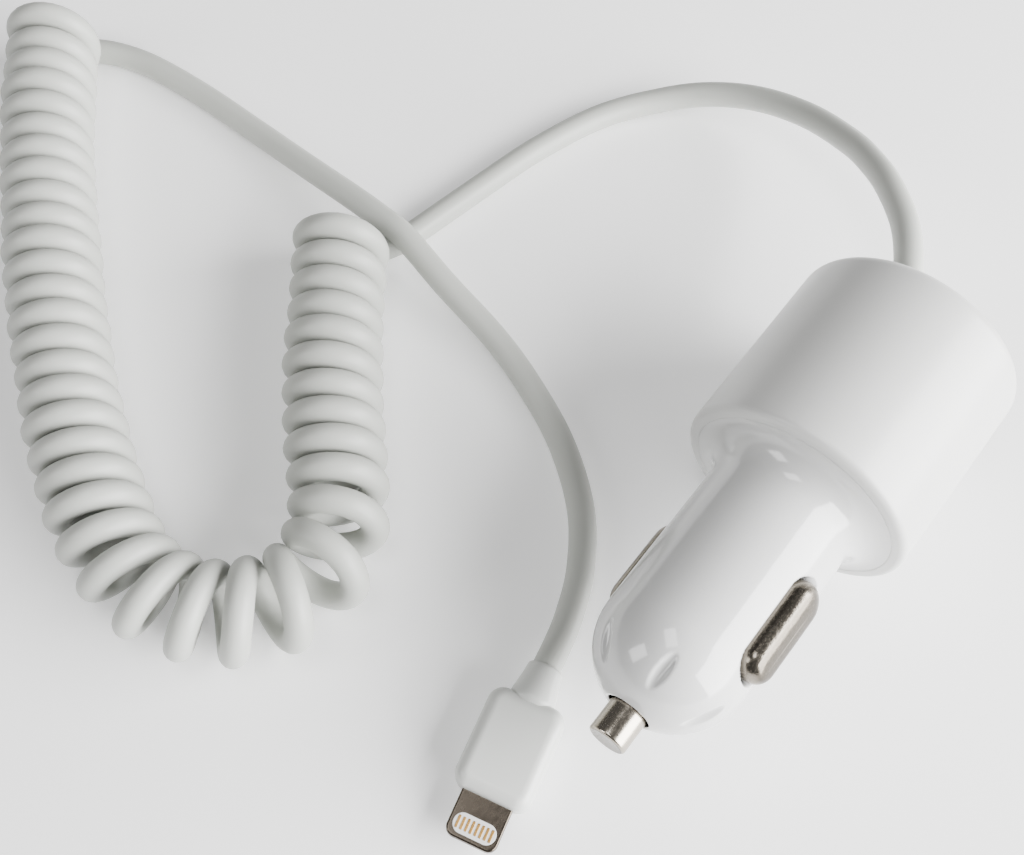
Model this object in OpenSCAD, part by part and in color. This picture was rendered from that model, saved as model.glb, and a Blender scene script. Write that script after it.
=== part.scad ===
// Car power plug with a USB port and a fixed curly lead that ends in a flat phone plug.
// It lies on its head: the nose points to -Y, the back of the head to +Y, and the floor is Z = 0.

/* [Barrel] */
// Diameter of the barrel that goes into the car's socket
barrel_d = 20.4; // [20.2:0.1:21]
// Length of the straight barrel, from the shoulder to the dome
barrel_len = 26.5; // [26:0.5:32]
// Length of the domed nose, if it ran to a point
dome_len = 10.5; // [10:0.5:12]
// Wall of the barrel
barrel_wall = 1.8; // [1.6:0.1:2]
// Radius of the hollow fillet between the shoulder and the barrel
shoulder_fillet = 3.2; // [2:0.2:4]
// Number of shallow recesses round the dome
recess_count = 6; // [4:1:8]
// Depth of each recess
recess_depth = 0.7; // [0.4:0.1:1.2]

/* [Head] */
// Diameter of the head
head_d = 32.4; // [31:0.2:36]
// Length of the head, from the shoulder to its back face
head_len = 30; // [29:0.5:36]
// Wall of the head's sleeve
head_wall = 1.8; // [1.4:0.1:2.2]
// Thickness of the head's back wall
back_wall = 2; // [1.5:0.1:3]
// Rounding of the back rim
back_round = 2; // [1:0.2:2.4]
// Rounding of the front rim
front_round = 1.5; // [0.8:0.1:1.8]
// Thickness of the shoulder disc
shoulder_wall = 2.2; // [1.8:0.1:3]
// Length of the spigot that holds the sleeve
spigot_len = 6; // [4:0.5:8]

/* [Centre pin] */
// Diameter of the centre pin
pin_d = 5.2; // [4.6:0.1:5.6]
// How far the pin stands out of the dome
pin_out = 4.5; // [4:0.1:6]
// Diameter of the hole that the pin comes out of
pin_hole_d = 6; // [5.8:0.1:7.2]
// Diameter of the collar that keeps the pin in
pin_collar_d = 8.6; // [8.2:0.1:8.8]
// How far the pin can be pushed in
pin_travel = 2.5; // [1:0.1:3]

/* [Side contacts] */
// Length of a side contact
contact_len = 15; // [12:0.5:16]
// Width of a side contact
contact_w = 6; // [5:0.1:6.4]
// How far a side contact stands out of the barrel
contact_out = 1.8; // [1:0.1:2.2]
// Distance from the shoulder to the near end of a contact
contact_start = 10.8; // [9:0.1:11]
// Gap round a contact in its slot
slot_gap = 0.25; // [0.15:0.05:0.4]
// Turn of the contacts about the barrel, from level
contact_roll = 29; // [0:1:40]
// Thickness of the sheet that the contacts are drawn from
sheet_t = 0.4; // [0.3:0.05:0.5]

/* [Port] */
// Width of the port's mouth
port_w = 12.5; // [12.3:0.1:12.7]
// Height of the port's mouth
port_h = 5.12; // [5:0.02:5.3]
// Depth of the port's shell
port_len = 14; // [13:0.5:15]
// Drop of the port below the head's axis
port_drop = 4; // [3:0.1:4.4]
// Thickness of the port's shell
port_sheet = 0.3; // [0.2:0.05:0.35]

/* [Board] */
// Thickness of the circuit board
board_t = 1.6; // [1.2:0.1:1.8]
// Width of the circuit board
board_w = 21; // [20:0.5:22]

/* [Lead] */
// Diameter of the lead
cord_d = 4; // [3.6:0.1:4.2]
// Outer diameter of the curly stretch
curl_d = 14.4; // [13:0.2:16]
// Distance of the lead's exit from the head's axis
exit_offset = 8; // [7.4:0.1:9]
// Turn of the exit about the axis, from straight up
exit_turn = 30; // [0:1:40]

/* [Phone plug] */
// Width of the plug's housing
plug_w = 10.8; // [10:0.2:12]
// Length of the plug's housing
plug_len = 14.2; // [12:0.2:18]
// Thickness of the plug's housing
plug_t = 5.6; // [5.2:0.1:6.4]
// Width of the plug's tab
tab_w = 6.7; // [6.6:0.02:6.9]
// Thickness of the plug's tab
tab_t = 1.5; // [1.4:0.05:1.6]
// Length of the tab in front of the housing
tab_len = 6; // [5:0.1:7]
// Length of the collar behind the housing
collar_len = 4.8; // [4:0.2:6]

/* [Hidden] */
$fn = 96;
cut = 1;
seat = 0.05;
fit = 0.1;
barrel_r = barrel_d / 2;
bore_r = barrel_r - barrel_wall;
head_r = head_d / 2;
sleeve_r = head_r - head_wall;
pin_r = pin_d / 2;
hole_r = pin_hole_d / 2;
collar_r = pin_collar_d / 2;
cord_r = cord_d / 2;
curl_r = curl_d / 2;

// Places along the axis are counted from the shoulder, with the nose negative
tip_at = -(barrel_len + dome_len * sqrt(1 - pow(hole_r / barrel_r, 2)));
bore_end = -(barrel_len + 0.9);
collar_t = 1.3;
stem_r = 1.7;
stem_len = 3;
nose_wall = 2.4;
nose_end = tip_at + nose_wall;
nose_r = collar_r + 0.3;
pin_edge = 0.4;
pin_front = tip_at - pin_out;
collar_front = nose_end + fit;
collar_back = collar_front + collar_t;

// The carrier fills the barrel behind the nose and holds the rivet and both leaf springs
carrier_front = bore_end + seat;
carrier_back = -3;
well_depth = 4.7 + pin_travel;
well_r = 4;
flat_at = 5.2;
rivet_r = 1.1;
rivet_disc = 0.5;
spring_wire = 0.7;
spring_turns = 6;
spring_r = 3.25;
spring_front = collar_back + spring_wire / 2 + seat;
spring_back = carrier_front + well_depth - rivet_disc - spring_wire / 2 - seat;

// Side contacts, in a frame whose X points out through the contact
contact_mid = -(contact_start + contact_len / 2);
flange_len = contact_len + 1.6;
flange_w = contact_w + 1.8;
flange_t = 0.5;
flange_out = sqrt(pow(bore_r, 2) - pow(flange_w / 2, 2)) - seat;
flange_in = flange_out - flange_t;
contact_edge = 0.9;
slot_len = contact_len + 1.2;
leaf_t = 0.3;
leaf_w = 3;
leaf_len = 11;

// The lead wires meet the leaves at the back of the carrier
wire_r = 0.7;
thin_wire_r = 0.5;

// Port and board, in the head's frame
port_back = head_len - 0.4;
port_front = port_back - port_len;
port_gap = 0.15;
board_top = -port_drop - port_h / 2 - port_sheet - 0.02;
board_front = spigot_len + 0.3;
board_back = head_len - back_wall - 0.2;
insulator_t = 2.6;
tongue_w = 11;
tongue_t = 1.8;
tongue_len = 6.8;
tongue_top = 0.75;
strip_t = 0.25;
strip_w = 1;
strip_len = 6.2;
strip_at = [-3.5, -1, 1, 3.5];

// Parts that stand on the board, as [x, distance from the shoulder]
choke_at = [-6.2, 11.2];
choke_r = 3.2;
choke_h = 4.4;
choke_disc = 0.9;
choke_post_r = 1.6;
winding_r = 2.8;
in_cap_at = [6.2, 11];
in_cap_r = 3.15;
in_cap_h = 7.5;
out_cap_at = [0.1, 12.8];
out_cap_r = 2.2;
out_cap_h = 6;
chip_at = [0.1, 8.6];
chip_size = [4.9, 2.6, 1.5];
leg_w = 0.4;
leg_t = 0.2;
leg_pitch = 1.27;
diode_at = [-8.6, 18.5];
diode_size = [2.6, 4.3, 2.2];
resistor_size = [0.8, 1.6, 0.5];
resistor_x = 8.6;
resistor_start = 17;
resistor_pitch = 2.4;
resistor_count = 4;

// The lead's exit
exit_x = -exit_offset * sin(exit_turn);
exit_z = exit_offset * cos(exit_turn);
grommet_hole_r = 3;
grommet_flange_r = 4;
grommet_flange_t = 1.1;
grommet_out = 2.4;
grommet_collar_r = 3.2;
cord_inside = 5;

// The lead's two cores bend down to the board inside the head
core_gap = 0.9;
core_reach = 8.3;

// Routes of the lead, in millimetres above the floor
head_lead = [
    [-4, 28.5, 23.1], [-4, 33, 23.1], [-4.2, 37.5, 23.1], [-6.2, 42, 22.9], [-9.8, 47.5, 22],
    [-15, 53, 20.2], [-19.5, 57, 17.8], [-24.5, 60.5, 15], [-33, 64, 11], [-42, 64.8, 7.4],
    [-50, 62.5, 4.6], [-56.5, 57.5, 2.6], [-62, 49.5, 2], [-66, 38, 2], [-68.5, 26.5, 2],
    [-70.4, 17, 2], [-71.6, 11, 2], [-73.4, 6.2, 2], [-76.2, 2.6, 2]];
curl_route = [
    [-143, 7], [-137, 0], [-130.5, -7], [-123, -14.5], [-115, -21.5], [-107.5, -28],
    [-101.5, -33], [-95.5, -37.5], [-87.5, -43.5], [-79.5, -48.5], [-73, -52.2], [-66.5, -55],
    [-60, -56], [-54, -54.5], [-48.5, -51], [-44.5, -45.5], [-43.5, -38.5], [-46.5, -32],
    [-52, -26.5], [-58.5, -20], [-65, -12.5], [-71.5, -4], [-77, 3]];
plug_lead = [
    [-141.2, 4.8, 2], [-137.5, 7.4, 2], [-132.5, 9.6, 2], [-126.8, 11.1, 2], [-116, 12, 2],
    [-104.5, 11.9, 2.4], [-93, 11.3, 3.6], [-81, 10.6, 5.2], [-75, 10.1, 5.9], [-70, 9.6, 6.1],
    [-60, 7.5, 4.8], [-49, 5.7, 3], [-40, 2.8, 2.1], [-31, -1.6, 2], [-22.8, -8, 2],
    [-17.5, -15.2, 2], [-14.7, -21.6, 2], [-13.4, -26, 2.4], [-12.6, -29.6, 2.8]];
cord_sides = 8;
curl_sides = 12;

// The phone plug lies flat, turned about Z where the lead ends
plug_at = [-12.6, -29.6, 2.8];
plug_turn = 14;
collar_tip_r = 2.2;
collar_root_r = 2.75;
plug_round = 1.5;
plug_corner = 2.2;
cavity = [8.4, 9.4, 2.8];
cavity_at = 2.4;
plug_board_size = [7.8, 8.8, 0.8];
chip_pad = [3, 3, 0.9];
tab_root = 2.2;
tab_round = 1.3;
pad_w = 5.9;
pad_len = 2.7;
pad_round = 1.3;
pad_mid = 4;
contact_count = 8;
gold_pitch = 0.66;
gold_w = 0.38;
gold_len = 1.7;
gold_t = 0.1;

// Sweeps a round section along points, with a reference direction that no stretch is parallel to
function unit(v) = v / norm(v);
function ahead(p, i) = unit(p[min(i + 1, len(p) - 1)] - p[max(i - 1, 0)]);
function ring(p, i, r, n, up) =
    let (t = ahead(p, i), s = unit(cross(t, up[i])), q = cross(s, t))
    [for (k = [0:n - 1]) p[i] + r * (cos(360 * k / n) * s + sin(360 * k / n) * q)];

// Closes a row of rings, each a list of as many points, into one solid
module loft(rings) {
    last = len(rings) - 1;
    n = len(rings[0]);
    sides = [for (i = [0:last - 1], k = [0:n - 1])
        [i * n + k, i * n + (k + 1) % n, (i + 1) * n + (k + 1) % n, (i + 1) * n + k]];
    front = [for (k = [0:n - 1]) n - 1 - k];
    back = [for (k = [0:n - 1]) last * n + k];
    polyhedron([for (r = rings) each r], concat([front], sides, [back]), convexity = 10);
}

module tube(p, r, n, up) {
    loft([for (i = [0:len(p) - 1]) ring(p, i, r, n, up)]);
}

// Clockwise outline of a w by l rectangle with corners of radius r, at height z
function rounded(w, l, r, z) =
    [for (q = [0:3], k = [0:6]) let (a = -90 * q - 15 * k, sx = q < 1 || q > 2 ? 1 : -1,
        sy = q < 2 ? -1 : 1)
        [sx * (w / 2 - r) + r * cos(a), sy * (l / 2 - r) + r * sin(a), z]];

module level_tube(p, r, n) {
    tube(p, r, n, [for (i = p) [0, 0, 1]]);
}

function arc(c, r, from, to, n) =
    [for (k = [0:n]) c + r * [cos(from + (to - from) * k / n), sin(from + (to - from) * k / n)]];

// Puts what is drawn about the plug's axis where it lies on the floor
module placed() {
    translate([0, (pin_length_all() - head_len) / 2, head_r]) children();
}

function pin_length_all() = -pin_front;

// Turns a profile of [radius, distance along the axis] about the axis
module spun() {
    rotate([-90, 0, 0]) rotate_extrude() children();
}

module along(r, from, to) {
    translate([0, from, 0]) rotate([-90, 0, 0]) cylinder(r = r, h = to - from);
}

module rolled(side) {
    rotate([0, (side > 0 ? 0 : 180) - contact_roll, 0]) children();
}

// Pill outline of length l along Y and width w along Z, from x0 to x1
module pill(l, w, x0, x1) {
    translate([x0, contact_mid, 0]) rotate([90, 0, 90]) linear_extrude(x1 - x0)
        pill_outline(l, w);
}

module pill_outline(l, w) {
    union() {
        square([l - w, w], center = true);
        for (s = [-1, 1]) translate([s * (l - w) / 2, 0]) circle(d = w, $fn = 32);
    }
}

module block(size, x, y, z) {
    translate([x - size[0] / 2, y - size[1] / 2, z]) cube(size);
}

// A round-edged wheel, set with its rim in the dome, leaves a recess with pointed ends
module dome_recess(turn) {
    phi = 34;
    wheel_r = 14;
    n = unit([cos(phi) / barrel_r, sin(phi) / dome_len]);
    deepest = [barrel_r * cos(phi), barrel_len + dome_len * sin(phi)];
    c = deepest + n * (wheel_r - recess_depth);
    half = [[wheel_r - 1.6, 1.5], [wheel_r - 0.9, 1.1], [wheel_r - 0.35, 0.7], [wheel_r, 0.25]];
    rotate([0, turn, 0]) translate([0, -c[1], c[0]]) rotate([0, 90, 0]) rotate_extrude()
        polygon(concat([[8, half[0][1]]], half, [for (k = [3:-1:0]) [half[k][0], -half[k][1]]],
            [[8, -half[0][1]]]));
}

module plug_shell() {
    dome_start = acos(hole_r / barrel_r);
    dome = [for (k = [0:12]) let (a = dome_start * (1 - k / 12))
        [barrel_r * cos(a), -(barrel_len + dome_len * sin(a))]];
    fillet = arc([barrel_r + shoulder_fillet, -shoulder_fillet], shoulder_fillet, 180, 90, 8);
    disc_r = sleeve_r - fit;
    disc_edge = 0.5;
    inner = [[disc_r - disc_edge, 0], [disc_r, disc_edge], [disc_r, spigot_len],
        [disc_r - 1.7, spigot_len], [disc_r - 1.7, shoulder_wall], [bore_r, shoulder_wall],
        [bore_r, bore_end], [nose_r, bore_end], [nose_r, nose_end], [hole_r, nose_end]];
    color("white") placed() difference() {
        spun() polygon(concat(dome, fillet, inner));
        for (side = [1, -1]) rolled(side)
            pill(slot_len, contact_w + 2 * slot_gap, bore_r / 2 + cut, barrel_r + cut);
        for (k = [0:recess_count - 1]) dome_recess(360 * k / recess_count + 5);
    }
}

module head_cap() {
    front = 0.3;
    profile = concat([[sleeve_r, front]],
        arc([head_r - front_round, front + front_round], front_round, -90, 0, 6),
        arc([head_r - back_round, head_len - back_round], back_round, 0, 90, 8),
        [[0, head_len], [0, head_len - back_wall], [sleeve_r, head_len - back_wall]]);
    mouth = [port_w + 2 * port_sheet + 2 * port_gap, back_wall + 2 * cut,
        port_h + 2 * port_sheet + 2 * port_gap];
    color("white") placed() difference() {
        spun() polygon(profile);
        block(mouth, 0, head_len - back_wall / 2, -port_drop - mouth[2] / 2);
        translate([exit_x, 0, exit_z])
            along(grommet_hole_r, head_len - back_wall - cut, head_len + cut);
    }
}

module centre_pin() {
    color("silver") placed() spun() polygon([
        [0, pin_front], [pin_r - pin_edge, pin_front], [pin_r, pin_front + pin_edge],
        [pin_r, collar_front], [collar_r, collar_front], [collar_r, collar_back],
        [stem_r, collar_back], [stem_r, collar_back + stem_len], [0, collar_back + stem_len]]);
}

module pin_spring() {
    steps = 16;
    total = spring_turns * steps;
    p = [for (k = [0:total]) [spring_r * cos(360 * k / steps),
        spring_front + (spring_back - spring_front) * k / total, spring_r * sin(360 * k / steps)]];
    color("silver") placed() tube(p, spring_wire / 2, 6, [for (q = p) unit([q[0], 0, q[2]])]);
}

module feed_rivet() {
    disc_back = carrier_front + well_depth;
    color("gold") placed() union() {
        along(well_r - fit, disc_back - rivet_disc, disc_back);
        along(rivet_r, disc_back - seat, carrier_back + 1);
    }
}

module contact_carrier() {
    length = carrier_back - carrier_front;
    color("dimgray") placed() rolled(1) difference() {
        along(bore_r - fit, carrier_front, carrier_back);
        along(well_r, carrier_front - cut, carrier_front + well_depth);
        along(rivet_r, carrier_front, carrier_back + cut);
        for (s = [-1, 1]) translate([s * (flat_at + barrel_r / 2), carrier_front + length / 2, 0])
            cube([barrel_r, length + 2 * cut, barrel_d], center = true);
    }
}

module side_contact(side) {
    top = barrel_r + contact_out;
    wall = sheet_t;
    color("silver") placed() rolled(side) difference() {
        union() {
            pill(flange_len, flange_w, flange_in, flange_out);
            pill(contact_len, contact_w, flange_out - seat, top - contact_edge);
            hull() {
                pill(contact_len, contact_w, top - contact_edge - seat, top - contact_edge);
                pill(contact_len - contact_edge, contact_w - contact_edge, top - seat - 0.2, top - 0.2);
                pill(contact_len - 2.6, contact_w - 2, top - seat, top);
            }
        }
        pill(contact_len - 2 * wall, contact_w - 2 * wall, flange_in - cut, top - contact_edge);
    }
}

module side_contact_right() {
    side_contact(1);
}

module side_contact_left() {
    side_contact(-1);
}

module contact_spring(side) {
    x0 = flat_at + seat;
    rise = flange_in - leaf_t - 2 * seat - x0;
    n = 16;
    bow = [for (k = [0:n]) [leaf_len * (k / n - 0.5), x0 + rise * (1 - cos(360 * k / n)) / 2]];
    back = [for (k = [0:n]) bow[n - k] + [0, leaf_t]];
    color("tan") placed() rolled(side) translate([0, contact_mid, -leaf_w / 2])
        rotate([0, 0, 90]) mirror([0, 1, 0]) linear_extrude(leaf_w) polygon(concat(bow, back));
}

module contact_spring_right() {
    contact_spring(1);
}

module contact_spring_left() {
    contact_spring(-1);
}

module circuit_board() {
    color("green") placed()
        block([board_w, board_back - board_front, board_t], 0, (board_back + board_front) / 2,
            board_top - board_t);
}

module port_shell() {
    outer = [port_w + 2 * port_sheet, port_len, port_h + 2 * port_sheet];
    inner = [port_w, port_len + 2 * cut, port_h];
    color("silver") placed() difference() {
        block(outer, 0, (port_front + port_back) / 2, -port_drop - outer[2] / 2);
        block(inner, 0, (port_front + port_back) / 2, -port_drop - inner[2] / 2);
    }
}

module port_insulator() {
    height = port_h - 2 * seat;
    tongue_z = -port_drop + port_h / 2 - tongue_top - tongue_t;
    start = port_front + 0.3;
    color("white") placed() union() {
        block([port_w - 2 * seat, insulator_t, height], 0, start + insulator_t / 2,
            -port_drop - height / 2);
        block([tongue_w, tongue_len, tongue_t], 0, start + insulator_t + tongue_len / 2 - seat,
            tongue_z);
    }
}

module port_contacts() {
    tongue_z = -port_drop + port_h / 2 - tongue_top - tongue_t;
    start = port_front + 0.3 + insulator_t;
    color("gold") placed() for (x = strip_at)
        block([strip_w, strip_len, strip_t], x, start + strip_len / 2, tongue_z - strip_t);
}

module inductor_core() {
    color("dimgray") placed() translate([choke_at[0], choke_at[1], board_top]) union() {
        cylinder(r = choke_r, h = choke_disc);
        cylinder(r = choke_post_r, h = choke_h);
        translate([0, 0, choke_h - choke_disc]) cylinder(r = choke_r, h = choke_disc);
    }
}

module inductor_winding() {
    gap = choke_h - 2 * choke_disc - 2 * seat;
    color("chocolate") placed()
        translate([choke_at[0], choke_at[1], board_top + choke_disc + seat]) difference() {
            cylinder(r = winding_r, h = gap);
            translate([0, 0, -cut]) cylinder(r = choke_post_r + seat, h = gap + 2 * cut);
        }
}

module capacitor(at, r, h) {
    color("navy") placed() translate([at[0], at[1], board_top]) cylinder(r = r, h = h);
}

module input_capacitor() {
    capacitor(in_cap_at, in_cap_r, in_cap_h);
}

module output_capacitor() {
    capacitor(out_cap_at, out_cap_r, out_cap_h);
}

module control_chip() {
    color("black") placed()
        block([chip_size[0], chip_size[1], chip_size[2] - leg_t], chip_at[0], chip_at[1],
            board_top + leg_t);
}

module chip_legs() {
    reach = 0.9;
    color("silver") placed() for (s = [-1, 1], k = [-1.5:1:1.5])
        block([leg_w, reach, leg_t], chip_at[0] + k * leg_pitch,
            chip_at[1] + s * (chip_size[1] + reach - 0.8) / 2, board_top);
}

module flyback_diode() {
    color("black") placed() block(diode_size, diode_at[0], diode_at[1], board_top);
}

module chip_resistors() {
    color("black") placed() for (k = [0:resistor_count - 1])
        block(resistor_size, resistor_x, resistor_start + k * resistor_pitch, board_top);
}

// Wires from the carrier to the board, laid in gentle S bends inside the head
module feed_wire() {
    p = [[0, carrier_back + 1 + seat, 0], [0, carrier_back + 3, 0], [0.6, 1, -1],
        [1.4, 3.6, -3], [2.2, 5.4, -5], [2.6, 6.6, board_top + wire_r + 0.1]];
    color("red") placed() tube(p, wire_r, 8, [for (q = p) [1, 0, 0]]);
}

module earth_wire(side) {
    start = [side * (flat_at + leaf_t + wire_r) * cos(contact_roll), carrier_back - 1.5,
        side * (flat_at + leaf_t + wire_r) * sin(contact_roll)];
    p = [start, start + [0, 2.5, 0], [side * 6.6, 1.2, start[2] / 2 - 1.2],
        [side * 7.6, 3.6, -3.4], [side * 8.4, 5.6, -5.2],
        [side * 8.8, 7, board_top + wire_r + 0.1]];
    color("black") placed() tube(p, wire_r, 8, [for (q = p) [1, 0, 0]]);
}

module earth_wire_right() {
    earth_wire(1);
}

module earth_wire_left() {
    earth_wire(-1);
}

module lead_cores() {
    start = head_len - back_wall - cord_inside;
    color("red") placed() for (s = [-1, 1]) {
        x = exit_x + s * core_gap;
        drop = exit_z - board_top;
        p = [[x, start - seat, exit_z], [x, start - 0.36 * core_reach, exit_z - 0.03 * drop],
            [x, start - 0.75 * core_reach, exit_z - 0.19 * drop],
            [x, start - 0.92 * core_reach, exit_z - 0.46 * drop],
            [x, start - 0.99 * core_reach, exit_z - 0.72 * drop],
            [x, start - core_reach, board_top + seat]];
        tube(p, thin_wire_r, 6, [for (q = p) [1, 0, 0]]);
    }
}

module lead_grommet() {
    back = head_len - back_wall;
    color("white") placed() translate([exit_x, 0, exit_z]) difference() {
        union() {
            along(grommet_flange_r, back - grommet_flange_t - seat, back - seat);
            along(grommet_hole_r - seat, back - 2 * seat, head_len + seat);
            along(grommet_collar_r, head_len + seat, head_len + grommet_out);
        }
        along(cord_r + seat, back - grommet_flange_t - cut, head_len + grommet_out + cut);
    }
}

module cord_head_end() {
    color("whitesmoke") level_tube(head_lead, cord_r, cord_sides);
}

module cord_curly() {
    color("whitesmoke")
        level_tube([for (p = curl_route) [p[0], p[1], curl_r]], curl_r, curl_sides);
}

module cord_plug_end() {
    color("whitesmoke") level_tube(plug_lead, cord_r, cord_sides);
}

// Puts what is drawn along -Y, from the end of the lead, where the phone plug lies
module plug_frame() {
    translate(plug_at) rotate([0, 0, plug_turn]) children();
}

module plug_collar() {
    color("white") plug_frame() translate([0, -collar_len, 0]) rotate([-90, 0, 0])
        cylinder(r1 = collar_root_r, r2 = collar_tip_r, h = collar_len);
}

module plug_housing() {
    color("white") plug_frame() translate([0, -collar_len - plug_len, 0]) difference() {
        translate([0, plug_len / 2, 0]) loft([for (a = [-90:22.5:90]) rounded(
            plug_w - 2 * plug_round * (1 - cos(a)), plug_len - 2 * plug_round * (1 - cos(a)),
            plug_corner - plug_round * (1 - cos(a)),
            sign(a) * (plug_t / 2 - plug_round) + plug_round * sin(a))]);
        block(cavity, 0, cavity_at + cavity[1] / 2, -cavity[2] / 2);
        block([tab_w + 2 * seat, cavity_at + 2 * cut, tab_t + 2 * seat], 0, cavity_at / 2,
            -tab_t / 2 - seat);
    }
}

module plug_board() {
    start = -collar_len - plug_len + cavity_at + 0.3;
    color("green") plug_frame() union() {
        block(plug_board_size, 0, start + plug_board_size[1] / 2, -cavity[2] / 2 + seat);
        block(chip_pad, 0, start + plug_board_size[1] / 2 + 1,
            -cavity[2] / 2 + plug_board_size[2]);
    }
}

module tab_outline(w, l, r) {
    hull() for (x = [-1, 1], y = [-1, 1])
        translate([x * (w / 2 - r), y * (l / 2 - r)]) circle(r = r, $fn = 32);
}

module plug_tab() {
    front = -collar_len - plug_len;
    color("gray") plug_frame() translate([0, front, 0]) difference() {
        union() {
            translate([0, -tab_len / 2, -tab_t / 2]) linear_extrude(tab_t)
                tab_outline(tab_w, tab_len, tab_round);
            block([tab_w, tab_len / 2 + tab_root, tab_t], 0, (tab_root - tab_len / 2) / 2,
                -tab_t / 2);
        }
        translate([0, -pad_mid, -tab_t / 2 - cut]) linear_extrude(tab_t + 2 * cut)
            tab_outline(pad_w, pad_len, pad_round);
    }
}

module tab_insulator() {
    front = -collar_len - plug_len;
    color("white") plug_frame() translate([0, front - pad_mid, -tab_t / 2 + seat])
        linear_extrude(tab_t - 2 * seat) tab_outline(pad_w - 2 * seat, pad_len - 2 * seat,
            pad_round - seat);
}

module tab_contacts() {
    front = -collar_len - plug_len;
    color("gold") plug_frame() for (k = [0:contact_count - 1])
        block([gold_w, gold_len, gold_t], (k - (contact_count - 1) / 2) * gold_pitch,
            front - pad_mid, tab_t / 2 - seat);
}

plug_shell();
head_cap();
centre_pin();
pin_spring();
feed_rivet();
contact_carrier();
side_contact_right();
side_contact_left();
contact_spring_right();
contact_spring_left();
circuit_board();
port_shell();
port_insulator();
port_contacts();
inductor_core();
inductor_winding();
input_capacitor();
output_capacitor();
control_chip();
chip_legs();
flyback_diode();
chip_resistors();
feed_wire();
earth_wire_right();
earth_wire_left();
lead_cores();
lead_grommet();
cord_head_end();
cord_curly();
cord_plug_end();
plug_collar();
plug_housing();
plug_board();
plug_tab();
tab_insulator();
tab_contacts();
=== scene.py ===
"""Car power plug with a USB port, a curly lead and a flat phone plug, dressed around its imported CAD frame.

Shapes are worked out in millimetres and put into the meshes in metres. The charger's axis runs along Y, with
the nose to -Y. Distances along it are counted from the shoulder, where the barrel meets the head.
"""

import bpy
import numpy as np
from mathutils import Matrix


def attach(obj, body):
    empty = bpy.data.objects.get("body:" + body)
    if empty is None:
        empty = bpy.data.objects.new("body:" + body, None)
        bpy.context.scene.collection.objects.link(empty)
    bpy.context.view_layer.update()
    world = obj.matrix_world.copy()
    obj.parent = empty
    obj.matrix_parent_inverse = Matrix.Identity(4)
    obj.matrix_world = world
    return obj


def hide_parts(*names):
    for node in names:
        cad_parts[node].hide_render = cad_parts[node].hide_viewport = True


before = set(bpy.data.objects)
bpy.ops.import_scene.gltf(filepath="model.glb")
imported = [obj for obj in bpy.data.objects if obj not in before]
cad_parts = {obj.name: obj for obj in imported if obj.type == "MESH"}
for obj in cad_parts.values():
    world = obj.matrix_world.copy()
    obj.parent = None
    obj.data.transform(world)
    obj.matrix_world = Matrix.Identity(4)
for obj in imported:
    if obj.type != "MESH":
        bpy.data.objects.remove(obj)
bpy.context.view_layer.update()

MM = 0.001
SHOULDER_Y = 5.51781
AXIS_Z = 16.2
BARREL_R = 10.2
BARREL_LEN = 26.5
DOME_LEN = 10.5
FILLET_R = 4.0
BORE_R = 8.4
PIN_HOLE_R = 3.0
PIN_HOLE_END = -34.1
COLLAR_BORE_R = 4.6
COLLAR_BORE_END = -27.4
SPIGOT_R = 14.4
SPIGOT_BORE_R = 12.6
SPIGOT_LEN = 6.0
SHOULDER_WALL = 2.2
HEAD_R = 16.2
HEAD_LEN = 30.0
BACK_WALL = 2.0
BACK_ROUND = 2.0
FRONT_ROUND = 1.0
LEAD_HOLE = np.array([-4.0, 6.93])
LEAD_HOLE_R = 3.0
PORT_MIDDLE = np.array([0.0, -4.0])
ROLL = np.radians(29)
CONTACT_MIDDLE = 18.3
CONTACT_LEN = 15.0
CONTACT_W = 6.0
SLOT_LEN = 16.2
SLOT_W = 6.5
CORD_R = 2.0
PLUG_AT = np.array([-12.6, -29.6, 2.8])
PLUG_TURN = np.radians(14)

HEAD_LEAD = [
    [-4, 28.5, 23.1], [-4, 33, 23.1], [-4.2, 37.5, 23.1], [-6.2, 42, 22.9], [-9.8, 47.5, 22],
    [-15, 53, 20.2], [-19.5, 57, 17.8], [-24.5, 60.5, 15], [-33, 64, 11], [-42, 64.8, 7.4],
    [-50, 62.5, 4.6], [-56.5, 57.5, 2.6], [-62, 49.5, 2], [-66, 38, 2], [-68.5, 26.5, 2],
    [-70.4, 17, 2], [-71.6, 11, 2], [-73.4, 6.2, 2], [-76.2, 2.6, 2]]
CURL_ROUTE = [
    [-143, 7], [-137, 0], [-130.5, -7], [-123, -14.5], [-115, -21.5], [-107.5, -28],
    [-101.5, -33], [-95.5, -37.5], [-87.5, -43.5], [-79.5, -48.5], [-73, -52.2], [-66.5, -55],
    [-60, -56], [-54, -54.5], [-48.5, -51], [-44.5, -45.5], [-43.5, -38.5], [-46.5, -32],
    [-52, -26.5], [-58.5, -20], [-65, -12.5], [-71.5, -4], [-77, 3]]
PLUG_LEAD = [
    [-141.2, 4.8, 2], [-137.5, 7.4, 2], [-132.5, 9.6, 2], [-126.8, 11.1, 2], [-116, 12, 2],
    [-104.5, 11.9, 2.4], [-93, 11.3, 3.6], [-81, 10.6, 5.2], [-75, 10.1, 5.9], [-70, 9.6, 6.1],
    [-60, 7.5, 4.8], [-49, 5.7, 3], [-40, 2.8, 2.1], [-31, -1.6, 2], [-22.8, -8, 2],
    [-17.5, -15.2, 2], [-14.7, -21.6, 2], [-13.4, -26, 2.4], [-12.6, -29.6, 2.8]]


# Surfaces

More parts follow.
